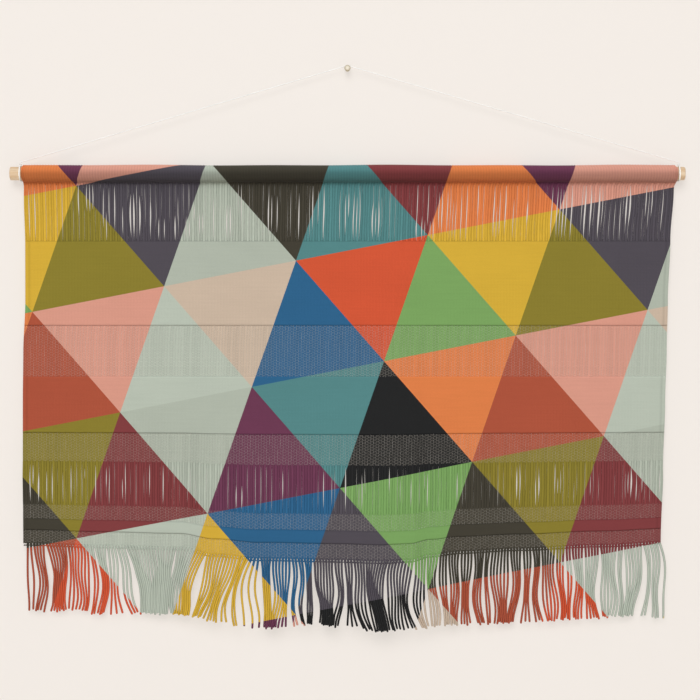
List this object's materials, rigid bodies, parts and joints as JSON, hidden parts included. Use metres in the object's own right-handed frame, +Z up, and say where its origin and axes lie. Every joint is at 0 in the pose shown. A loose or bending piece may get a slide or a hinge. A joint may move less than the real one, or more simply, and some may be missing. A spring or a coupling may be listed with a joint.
{
  "type": "textile wall hanging with dowel and nail",
  "caption": "Wide banded woven cloth with open warp and a long fringe, sewn round a wooden dowel and hung by a thin cord from a nail.",
  "frame": {"origin": "middle of the nail's flat back face, where it leaves the wall", "axes": "+X along the dowel to the viewer's right, +Y into the wall, +Z up"},
  "size_m": [0.607, 0.022, 0.5095],
  "materials": {
    "pale_wood": "smooth, unvarnished",
    "printed_cotton": "matt woven cotton, printed in many colours on both sides",
    "fringe_cotton": "matt cotton yarn, printed like the cloth",
    "cotton_cord": "matt twisted cotton",
    "pale_brass": "dull, slightly worn"
  },
  "bodies": {
    "root": {"cloth": "printed_cotton", "fringe": "fringe_cotton", "dowel": "pale_wood", "hanging_cord": "cotton_cord", "cord_hitch_left": "cotton_cord", "cord_hitch_right": "cotton_cord", "nail": "pale_brass"}
  },
  "joints": []
}
